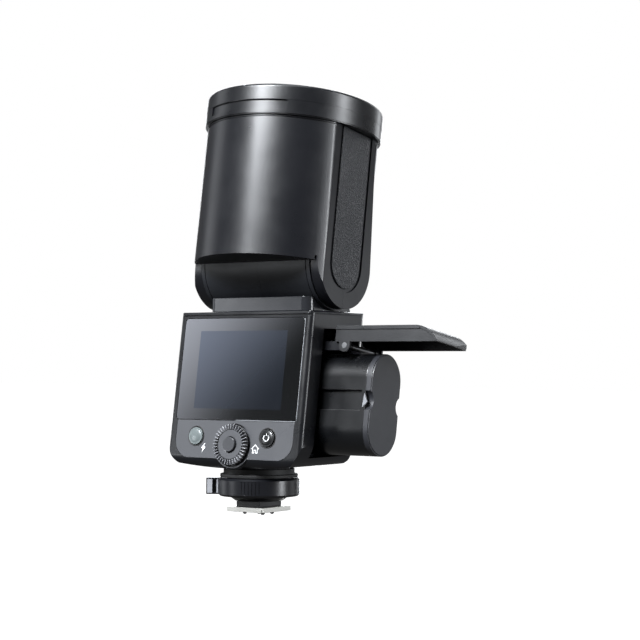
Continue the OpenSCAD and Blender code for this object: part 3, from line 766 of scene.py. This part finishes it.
@dataclass
class Foot:
    """The shoe plate, its post, the lock ring and the contacts.

    Attributes:
        shop: The frame and the shared places.
        tab_deg: Where the lock ring's thumb tab stands, in degrees round the foot.
        grip_x: Near and far side of the wide grip and of the narrow one.
        grip_y: Inner and outer face of both grips.
        grip_z: Lower and upper end of both grips.
        grip_edge: Edge radius of the grips.
    """

    shop: Shop
    tab_deg: float = 208.0
    grip_x: tuple[tuple[float, float], ...] = ((19.3, 21.5), (16.9, 17.5))
    grip_y: tuple[float, float] = (2.9, 3.3)
    grip_z: tuple[float, float] = (7.4, 13.2)
    grip_edge: float = 0.08

    def build(self) -> None:
        """Builds and dresses the foot's pieces."""
        shop = self.shop
        shop.finish_copy("shoe_plate", NICKEL, 0.3, 3)
        for node, finish, bevel in (("foot_post", SHELL_SATIN, 0.2), ("foot_flange", RUBBER, 0.3),
                                    ("foot_seal", RUBBER, 0.3), ("lock_ring", SHELL, 0.22),
                                    ("contact_pins", PIN, 0.0), ("lock_pin", STEEL, 0.15)):
            shop.finish_copy(node, finish, bevel)
        shop.dress("foot_screws", STEEL)
        self.tab_grips()

    def tab_grips(self) -> None:
        """Two pale upright grips on the lock ring's thumb tab."""
        turn = Matrix.Rotation(math.radians(self.tab_deg), 4, "Z")
        for name, (near, far) in zip(("tab_grip", "tab_rib"), self.grip_x):
            grip = slab(name, (near, self.grip_y[0], self.grip_z[0]), (far, self.grip_y[1], self.grip_z[1]))
            self.shop.add(grip, GRIP, "lock_ring", "shell_plastic", turn, self.grip_edge)


@dataclass(frozen=True)
class Cap:
    """A domed cap over a button.

    Attributes:
        name: The piece's name.
        finish: What it is made of.
        body: The button that carries it.
        slot: The record's material slot.
        at: Place on the panel, across and up.
        radius: Radius of the cap.
        rise: Heights of its rim and of its crown above the panel.
        welled: Whether a black well surrounds it.
    """

    name: str
    finish: Finish
    body: str
    slot: str
    at: tuple[float, float]
    radius: float
    rise: tuple[float, float]
    welled: bool = True


@dataclass
class Controls:
    """The panel below the screen: dial, buttons and printed marks.

    Attributes:
        shop: The frame and the shared places.
        dial_at: Place of the dial on the panel, across and up.
        left_at: Place of the pale button.
        power_at: Place of the power button.
        bolt_at: Place of the printed bolt.
        house_at: Place of the printed house.
        ribs: How many ribs stand round the dial.
        rib_r: Inner and outer end of a rib.
        rib_z: Foot and crest of a rib above the panel.
        rib_half: Half the width of a rib at its foot.
        disc_r: Bore and rim of the dial's flat disc.
        bore: Radius of the wells round the buttons, where the caps pass.
        ink: Thickness of the printed marks.
        sign_r: Radius of the power sign's arc.
        sign_line: Width of the power sign's lines.
    """

    shop: Shop
    dial_at: tuple[float, float] = (0.3, 25.0)
    left_at: tuple[float, float] = (-19.3, 28.3)
    power_at: tuple[float, float] = (17.5, 28.3)
    bolt_at: tuple[float, float] = (-15.0, 23.5)
    house_at: tuple[float, float] = (11.8, 23.6)
    ribs: int = 36
    rib_r: tuple[float, float] = (6.3, 8.48)
    rib_z: tuple[float, float] = (1.0, 2.68)
    rib_half: float = 0.24
    disc_r: tuple[float, float] = (3.3, 6.12)
    bore: float = 3.66
    ink: float = 0.03
    sign_r: float = 1.3
    sign_line: float = 0.26

    def build(self) -> None:
        """Builds and dresses the controls."""
        shop = self.shop
        shop.finish_copy("control_panel", PANEL, 0.2)
        for node, finish in (("centre_button", GREY_KEY), ("left_button", PALE_KEY), ("power_button", GLOSS)):
            shop.finish_copy(node, finish, 0.15)
        self.dial_cone()
        self.dial_ribs()
        self.dial_disc()
        self.caps()
        self.marks()

    def dial_cone(self) -> None:
        """The black cone that the dial's ribs stand on."""
        hollow, edge = 6.1, 8.4
        profile = [(hollow, 0.4), (8.3, 0.4), (8.42, 0.7), (edge, 1.3), (8.1, 1.5), (6.3, 1.75),
                   (hollow, 1.65), (hollow, 0.4)]
        cone = turned("dial_cone", profile, FINE_SIDES)
        move(cone, self.shop.on_panel(*self.dial_at))
        soften(cone, 0)
        self.shop.fit(cone, RUBBER, "dial")

    def dial_ribs(self) -> None:
        """One rib with a narrowed crest, copied round the dial."""
        rib = slab("rib", (self.rib_r[0], -self.rib_half, self.rib_z[0]),
                   (self.rib_r[1], self.rib_half, self.rib_z[1]))
        choose(rib, lambda face: face.center.z > mm(self.rib_z[1]) * 0.97)
        bpy.ops.transform.resize(value=(0.95, 0.55, 1.0))
        leave()
        soften(rib, 0.07)
        group = []
        for i in range(self.ribs):
            twin = bpy.data.objects.new(f"rib_{i}", rib.data.copy())
            bpy.context.scene.collection.objects.link(twin)
            twin.data.transform(Matrix.Rotation(math.tau * i / self.ribs, 4, "Z"))
            group.append(twin)
        bpy.data.objects.remove(rib)
        ribs = join("dial_ribs", group)
        move(ribs, self.shop.on_panel(*self.dial_at))
        # The ribs' pale grey is a painted glint.
        self.shop.fit(ribs, GLINT_GREY, "dial_grip")

    def dial_disc(self) -> None:
        """The flat grey disc inside the ribs."""
        bore, rim = self.disc_r
        profile = [(bore, 0.6), (rim, 0.6), (rim, 2.1), (5.95, 2.24), (3.6, 2.2), (bore, 2.05), (bore, 0.6)]
        disc = turned("dial_disc", profile, FINE_SIDES)
        self.shop.add(disc, PANEL, "dial", "panel_plastic", self.shop.on_panel(*self.dial_at))

    def caps(self) -> None:
        """Domed caps over the three buttons, and black wells round two of them."""
        shop = self.shop
        sides = 72
        for cap in (Cap("centre_cap", GREY_KEY, "centre_button", "button_plastic", self.dial_at, 3.02,
                        (2.5, 3.19), False),
                    Cap("left_cap", PALE_KEY, "left_button", "pale_button", self.left_at, 3.45, (0.15, 0.95)),
                    Cap("power_cap", GLOSS, "power_button", "button_plastic", self.power_at, 3.62,
                        (0.15, 0.95))):
            place = shop.on_panel(*cap.at)
            crown = turned(cap.name, dome(cap.radius, *cap.rise), sides)
            shop.add(crown, cap.finish, cap.body, cap.slot, place)
            if cap.welled:
                profile = [(self.bore, -0.5), (4.3, -0.5), (4.3, 0.03), (4.1, 0.1), (3.8, 0.02),
                           (self.bore, -0.5)]
                well = turned(f"{cap.name}_well", profile, sides)
                shop.add(well, RUBBER, "body", "button_plastic", place)

    def marks(self) -> None:
        """A flash bolt, a house and a power sign, in white ink."""
        shop = self.shop
        zigzag = [(0.75, 2.05), (-1.15, -0.2), (-0.15, -0.15), (-0.7, -2.05), (1.15, 0.4), (0.2, 0.35)]
        bolt = plate("bolt", zigzag, self.ink)
        shop.add(bolt, PRINT, "body", "panel_plastic", shop.on_panel(*self.bolt_at))
        # The second piece of each mark is 5 microns thicker, so that the two never share a face.
        step = 0.005
        side, sill, door = 1.2, -1.55, 0.45
        walls = [(-side, 0.5), (-side, sill), (-door, sill), (-door, -0.4), (door, -0.4), (door, sill),
                 (side, sill), (side, 0.5)]
        house = join("house", [plate("roof", stroke([(-1.85, 0.1), (0, 1.85), (1.85, 0.1)], 0.24), self.ink),
                               plate("walls", stroke(walls, 0.22), self.ink + step)])
        shop.add(house, PRINT, "body", "panel_plastic", shop.on_panel(*self.house_at))
        arc = ring_arc(self.sign_r, self.sign_line, 130, 410)
        bar = stroke([(0, 0.3), (0, 1.7)], self.sign_line)
        sign = join("power_sign", [plate("arc", arc, 2 * self.ink), plate("bar", bar, 2 * self.ink + step)])
        lift = 0.86
        shop.add(sign, PRINT, "power_button", "button_plastic", shop.on_panel(*self.power_at, lift))


@dataclass
class Screen:
    """The touch glass, the display behind it and the pale strips round it that paint the highlights on its
    edges.

    Attributes:
        shop: The frame and the shared places.
        display_x: Left and right side of the display's picture area.
        display_z: Lower and upper side of the picture area.
        display_depth: How far the picture area lies behind the glass face.
        display_t: Thickness of the picture area.
        edge_x: Where the lower painted edge highlight starts, and the inner and outer side of the upright
            one.
        edge_z: Lower and upper side of the lower painted edge highlight, and the two ends of the upright one.
        edge_t: Thickness of the painted edge highlights.
    """

    shop: Shop
    display_x: tuple[float, float] = (-22.3, 22.7)
    display_z: tuple[float, float] = (39.9, 72.6)
    display_depth: float = 0.035
    display_t: float = 0.02
    edge_x: tuple[float, float, float] = (0.5, 30.85, 31.1)
    edge_z: tuple[float, float, float, float] = (35.2, 35.42, 35.6, 77.6)
    edge_t: float = 0.08

    def build(self) -> None:
        """Builds and dresses the screen."""
        shop = self.shop
        shop.finish_copy("screen_glass", GLASS, 0.12)
        shop.dress("display_module", LINER)
        display = slab("display_area", (self.display_x[0], 0, self.display_z[0]),
                       (self.display_x[1], self.display_t, self.display_z[1]))
        shop.add(display, LCD, "body", "display",
                 shop.body @ Matrix.Translation(mm(0, REAR_Y + self.display_depth, 0)))
        start, inner, outer = self.edge_x
        bottom, top, foot, head = self.edge_z
        # Pale strips along the glass's right and lower edges: painted highlights.
        for name, low, high in (("glass_edge_right", (inner, 0, foot), (outer, self.edge_t, head)),
                                ("glass_edge_low", (start, 0, bottom), (outer, self.edge_t, top))):
            shop.add(slab(name, low, high), EDGE, "body", "screen_glass",
                     shop.body @ Matrix.Translation(mm(0, REAR_Y, 0)), 0.03)


@dataclass
class Body:
    """The leaning body with its covers, seams and ports.

    Attributes:
        shop: The frame and the shared places.
        groove_x: How far the groove above the screen runs to either side.
        groove_y: Outer and inner end of the groove's cutter.
        groove_z: Lower and upper side of the groove.
        seam_highlight_x: Outer face of the painted seam highlights.
        seam_highlight_w: How far a painted seam highlight reaches inwards.
        seam_highlight_y: Rear and front side of the painted seam highlights.
        seam_highlight_z: Lower and upper end of the painted seam highlights.
    """

    shop: Shop
    groove_x: float = 31.4
    groove_y: tuple[float, float] = (-23.5, -21.9)
    groove_z: tuple[float, float] = (78.55, 79.5)
    seam_highlight_x: float = 34.18
    seam_highlight_w: float = 0.5
    seam_highlight_y: tuple[float, float] = (-17.08, -16.96)
    seam_highlight_z: tuple[float, float] = (31, 78)

    def build(self) -> None:
        """Builds and dresses the body's pieces."""
        shop = self.shop
        groove = slab("groove", (-self.groove_x, self.groove_y[0], self.groove_z[0]),
                      (self.groove_x, self.groove_y[1], self.groove_z[1]))
        move(groove, shop.body)
        shop.finish_copy("rear_cover", SHELL_SATIN, 0.3, 2, [groove])
        for node, finish, bevel in (("middle_frame", SHELL, 0.25), ("front_cover", SHELL, 0.25),
                                    ("bay_liner", SHELL, 0.2), ("af_window", RED, 0.15),
                                    ("port_cover", RUBBER, 0.3)):
            shop.finish_copy(node, finish, bevel)
        for node, finish in (("dial_encoder", STEEL), ("main_board", BOARD), ("port_pin", STEEL),
                             ("usb_socket", STEEL), ("sync_socket", STEEL), ("battery_contacts", GOLD),
                             ("body_screws", STEEL), ("pan_bearing", STEEL)):
            shop.dress(node, finish)
        # Pale strips in both side seams: painted highlights.
        for side in Side:
            self.seam_highlight(side)

    def seam_highlight(self, side: Side) -> None:
        """A pale strip in the seam between the rear cover and the middle frame: a painted highlight on the
        seam's rounded edge.
        """
        outer = self.seam_highlight_x * side.value
        inner = outer - self.seam_highlight_w * side.value
        highlight_strip = slab(f"seam_bead_{side.name.lower()}", (min(outer, inner), self.seam_highlight_y[0], self.seam_highlight_z[0]),
                    (max(outer, inner), self.seam_highlight_y[1], self.seam_highlight_z[1]))
        self.shop.add(highlight_strip, EDGE, "body", "shell_plastic", self.shop.body)


@dataclass
class BatteryBay:
    """The battery, the door and the carrier that the door hangs on.

    Attributes:
        shop: The frame and the shared places.
        joint_x: Where the two fine joint lines cross the open door.
        joint_half: Half the width of a joint line.
        joint_y: Outer and inner end of the joint lines' cutters.
        joint_z: Lower and upper end of the cutters.
        tab: Corners of the pale painted glint in the battery's thumb notch, across and up.
        glint_y: Where the painted glint's face lies.
        glint_t: Thickness of the painted glint.
        glint_edge: Edge radius of the painted glint.
    """

    shop: Shop
    joint_x: tuple[float, float] = (53.0, 79.5)
    joint_half: float = 0.18
    joint_y: tuple[float, float] = (-14, -12.75)
    joint_z: tuple[float, float] = (66, 76)
    tab: tuple[tuple[float, float], ...] = ((54.3, 43.0), (56.6, 45.3), (54.9, 48.9))
    glint_y: float = -10.65
    glint_t: float = 0.5
    glint_edge: float = 0.08

    def build(self) -> None:
        """Builds and dresses the battery and the door."""
        shop = self.shop
        shop.finish_copy("door_shell", DOOR, 0.3, 2, [self.joint_cutter(x) for x in self.joint_x])
        for node, finish, bevel in (("door_liner", LINER, 0.1), ("hinge_pin", STEEL, 0.1),
                                    ("hinge_carrier", SHELL, 0.2), ("battery_case", BATTERY, 0.3),
                                    ("battery_cap", BATTERY_CAP, 0.45)):
            shop.finish_copy(node, finish, bevel)
        shop.dress("battery_terminals", GOLD)
        # A pale triangle in the battery's thumb notch: a painted glint.
        upright = Matrix.Translation(mm(0, self.glint_y, 0)) @ Matrix.Rotation(math.pi / 2, 4, "X")
        shop.add(plate("battery_tab", self.tab, self.glint_t), GLINT_GREY, "battery", "battery_plastic",
                 shop.body @ upright, self.glint_edge)

    def joint_cutter(self, at: float) -> bpy.types.Object:
        """A cutter for one fine joint line across the door's rear edge."""
        joint = slab("joint", (at - self.joint_half, self.joint_y[0], self.joint_z[0]),
                     (at + self.joint_half, self.joint_y[1], self.joint_z[1]))
        move(joint, self.shop.body)
        return joint


@dataclass
class Neck:
    """The base that pans and the barrel that the head tilts on.

    Attributes:
        shop: The frame and the shared places.
        groove_x: How far from the middle the barrel's two end lines lie.
        groove_r: Bottom of the lines, and a radius outside the barrel.
        groove_half: Half the width of a line.
    """

    shop: Shop
    groove_x: float = 26.3
    groove_r: tuple[float, float] = (18.7, 20)
    groove_half: float = 0.18

    def end_groove(self, side: Side) -> bpy.types.Object:
        """A ring cutter for the fine line near one end of the barrel."""
        (low, high), half = self.groove_r, self.groove_half
        profile = [(low, -half), (high, -half), (high, half), (low, half), (low, -half)]
        cutter = turned("groove", profile, FINE_SIDES)
        pivot = self.shop.head.translation
        centre = Vector((mm(self.groove_x * side.value), pivot.y, pivot.z))
        move(cutter, Matrix.Translation(centre) @ Matrix.Rotation(math.pi / 2, 4, "Y"))
        return cutter

    def build(self) -> None:
        """Builds and dresses the neck."""
        shop = self.shop
        shop.finish_copy("neck_base", NECK, 0.25)
        for side in Side:
            shop.finish_copy(f"barrel_{side.name.lower()}", BARREL, 0.15, 2, [self.end_groove(side)])
        for node in ("pan_hub", "pan_retainer", "tilt_axle"):
            shop.dress(node, STEEL)


@dataclass
class Head:
    """The round head with its ring, lens and lamp.

    Attributes:
        shop: The frame and the shared places.
    """

    shop: Shop

    def build(self) -> None:
        """Builds and dresses the head."""
        shop = self.shop
        for node, finish, bevel in (("head_rear_shell", SHELL, 0.3), ("head_front_shell", SHELL, 0.3),
                                    ("left_pad", LEATHER, 0.3), ("right_pad", LEATHER, 0.3),
                                    ("front_ring", SHELL_SATIN, 0.12), ("front_lens", FRESNEL, 0.1),
                                    ("reflector", MIRROR, 0.0), ("flash_tube", TUBE, 0.2)):
            shop.finish_copy(node, finish, bevel)
        for node, finish in (("ear_bushes", STEEL), ("model_lamp", LAMP), ("capacitor", SLEEVE),
                             ("head_board", BOARD), ("magnets", STEEL)):
            shop.dress(node, finish)


# ---------------------------------------------------------------------------------------------- studio


@dataclass(frozen=True)
class Softbox:
    """A rectangular soft light aimed at the flash.

    Attributes:
        name: The light's name.
        azimuth: Where it stands round the flash, in degrees.
        elevation: How high it stands, in degrees.
        distance: How far off it stands, in metres.
        size: Width and height, in metres.
        power: Watts.
        roll: Turn about its own axis, in degrees.
    """

    name: str
    azimuth: float
    elevation: float
    distance: float
    size: tuple[float, float]
    power: float
    roll: float = 0.0


# One light for each streak or lit side; the two far ones and the low ones fill what would be black.
SOFTBOXES = (Softbox("key", -8, 39, 1.4, (0.56, 0.42), 66, 24),
             Softbox("front", -44, 1, 1.5, (0.34, 0.34), 2.4),
             Softbox("right", 103, 12, 1.4, (0.3, 1.3), 22),
             Softbox("back", 143, -2, 1.5, (0.5, 0.4), 0.8),
             Softbox("left", -80, 10, 1.4, (0.5, 1.2), 2.6),
             Softbox("top", 10, 75, 1.4, (1.0, 1.0), 12),
             Softbox("far_left", 215, 22, 1.6, (0.8, 0.9), 14),
             Softbox("far_right", 178, 12, 1.6, (0.35, 1.1), 4),
             Softbox("under", 30, -62, 1.5, (1.0, 1.0), 4),
             Softbox("sheen", 214, -5, 1.6, (0.9, 0.24), 8))


@dataclass
class Studio:
    """Camera, pale floor and soft lights.

    Attributes:
        azimuth: Where the camera stands round the flash, in degrees.
        elevation: How high it stands, in degrees.
        roll: Turn about its line of sight, in degrees.
        distance: How far it stands from its target.
        lens: Focal length on a 36 mm sensor.
        target: What it looks at.
        floor_z: Height of the floor.
        aim_z: Height that the lights are aimed at.
        light_tint: Colour of the lights, a little cool.
        ambient: Strength of the surround as a light.
    """

    azimuth: float = 34.66
    elevation: float = -1.56
    roll: float = 0.24
    distance: float = 693.0
    lens: float = 95.1
    target: tuple[float, float, float] = (30.7, 0.0, 79.5)
    floor_z: float = -260.0
    aim_z: float = 90.0
    light_tint: tuple[float, float, float] = (0.93, 0.96, 1.0)
    ambient: float = 0.12

    def direction(self, azimuth: float, elevation: float) -> Vector:
        """Unit vector from the flash towards a place given by azimuth and elevation in degrees."""
        a, e = math.radians(azimuth), math.radians(elevation)
        return Vector((math.sin(a) * math.cos(e), -math.cos(a) * math.cos(e), math.sin(e)))

    def facing(self, back: Vector, roll: float) -> Matrix:
        """Turn of a camera or light that looks against a direction, rolled by some degrees."""
        turn = back.to_track_quat("Z", "Y").to_matrix().to_4x4()
        return turn @ Matrix.Rotation(math.radians(roll), 4, "Z")

    def camera(self) -> None:
        """Sets the camera at the viewing angle."""
        data = bpy.data.cameras.new("camera")
        data.lens = self.lens
        data.sensor_width = 36.0
        data.clip_start = 0.01
        data.clip_end = 60.0
        camera = bpy.data.objects.new("camera", data)
        bpy.context.scene.collection.objects.link(camera)
        back = self.direction(self.azimuth, self.elevation)
        place = Matrix.Translation(mm(*self.target) + back * mm(self.distance))
        camera.matrix_world = place @ self.facing(back, self.roll)
        bpy.context.scene.camera = camera

    def light(self, box: Softbox) -> None:
        """Sets up one soft light.

        Args:
            box: What the light is and where it stands.
        """
        data = bpy.data.lights.new(box.name, "AREA")
        data.shape = "RECTANGLE"
        data.size, data.size_y = box.size
        data.energy = box.power
        data.color = self.light_tint
        lamp = bpy.data.objects.new(box.name, data)
        bpy.context.scene.collection.objects.link(lamp)
        back = self.direction(box.azimuth, box.elevation)
        place = Matrix.Translation(mm(0, 0, self.aim_z) + back * box.distance)
        lamp.matrix_world = place @ self.facing(back, box.roll)

    def floor(self) -> None:
        """A pale matt floor below the flash, which glows softly so that it fades into the surround."""
        deselect()
        bpy.ops.mesh.primitive_plane_add(size=40, location=(0, 0, mm(self.floor_z)))
        floor = bpy.context.object
        floor.name = "floor"
        paint = material(Finish("pale_floor_paint", "#f6f6f6", 0.9, shade=0.0))
        shader = paint.node_tree.nodes["Principled BSDF"]
        shader.inputs["Emission Color"].default_value = (1, 1, 1, 1)
        shader.inputs["Emission Strength"].default_value = 1.0
        floor.data.materials.append(paint)
        floor.visible_diffuse = False
        floor.visible_glossy = False

    def sky(self) -> None:
        """A white surround that the camera sees, and a dimmer one that lights the flash."""
        world = bpy.data.worlds.new("surround")
        bpy.context.scene.world = world
        world.use_nodes = True
        tree = world.node_tree
        ground = tree.nodes["Background"]
        ground.inputs["Color"].default_value = (1, 1, 1, 1)
        path = add_node(tree, "ShaderNodeLightPath")
        power = add_node(tree, "ShaderNodeMapRange", {"To Min": self.ambient, "To Max": 1.0},
                         {"Value": path.outputs["Is Camera Ray"]})
        tree.links.new(power.outputs["Result"], ground.inputs["Strength"])

    def build(self) -> None:
        """Sets up the whole studio."""
        self.camera()
        self.floor()
        self.sky()
        for box in SOFTBOXES:
            self.light(box)
        bpy.context.scene.view_settings.view_transform = "Standard"


def main() -> None:
    """Builds the flash piece by piece."""
    logging.basicConfig(level=logging.INFO, format="%(name)s: %(message)s")
    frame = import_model()
    shop = Shop(frame)
    Studio().build()
    for sort in (Foot, Body, Controls, Screen, BatteryBay, Neck, Head):
        LOG.info("building %s", sort.__name__)
        sort(shop).build()
    deselect()


if __name__ == "__main__":
    main()
